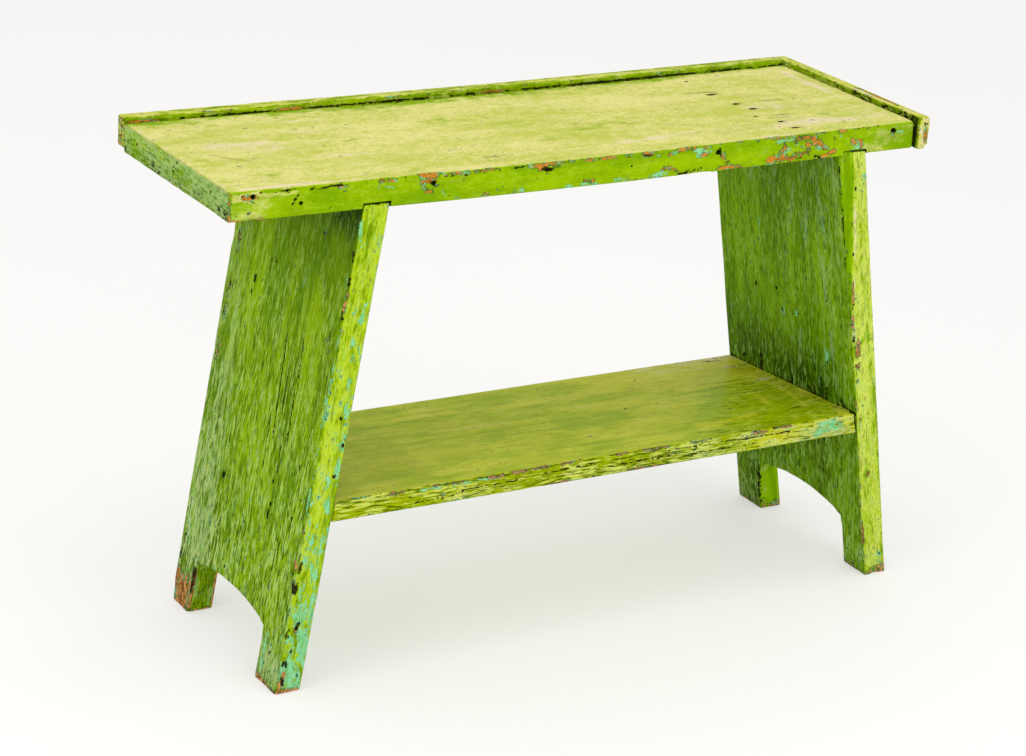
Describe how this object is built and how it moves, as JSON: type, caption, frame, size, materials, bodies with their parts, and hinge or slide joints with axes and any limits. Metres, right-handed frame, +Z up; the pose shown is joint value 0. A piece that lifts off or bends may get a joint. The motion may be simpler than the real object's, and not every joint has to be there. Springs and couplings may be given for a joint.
{
  "type": "bucket bench",
  "caption": "Thick plank bench on splayed board legs with bootjack cut-outs, a sloping lower shelf, and a low raised rim along the back and the right end.",
  "frame": {"origin": "on the floor under the middle of the bench's outline", "axes": "+X along the plank to the end that has a rim, +Y to the back, +Z up"},
  "size_m": [1.0466, 0.325, 0.669],
  "materials": {
    "top_paint": "worn lime-green milk paint over turquoise, rubbed to a pale satin",
    "rim_paint": "worn pale green paint, bare along the arrises",
    "leg_paint": "chipped green paint over turquoise, bare brown wood at the feet",
    "shelf_paint": "olive-green paint with a worn gloss",
    "nail_iron": "rusted iron"
  },
  "bodies": {
    "root": {"top_plank": "top_paint", "back_rim": "rim_paint", "end_rim": "rim_paint", "left_leg": "leg_paint", "right_leg": "leg_paint", "shelf": "shelf_paint", "left_top_nails": "nail_iron", "right_top_nails": "nail_iron", "left_shelf_nails": "nail_iron", "right_shelf_nails": "nail_iron", "back_rim_nails": "nail_iron", "end_rim_nails": "nail_iron"}
  },
  "joints": []
}
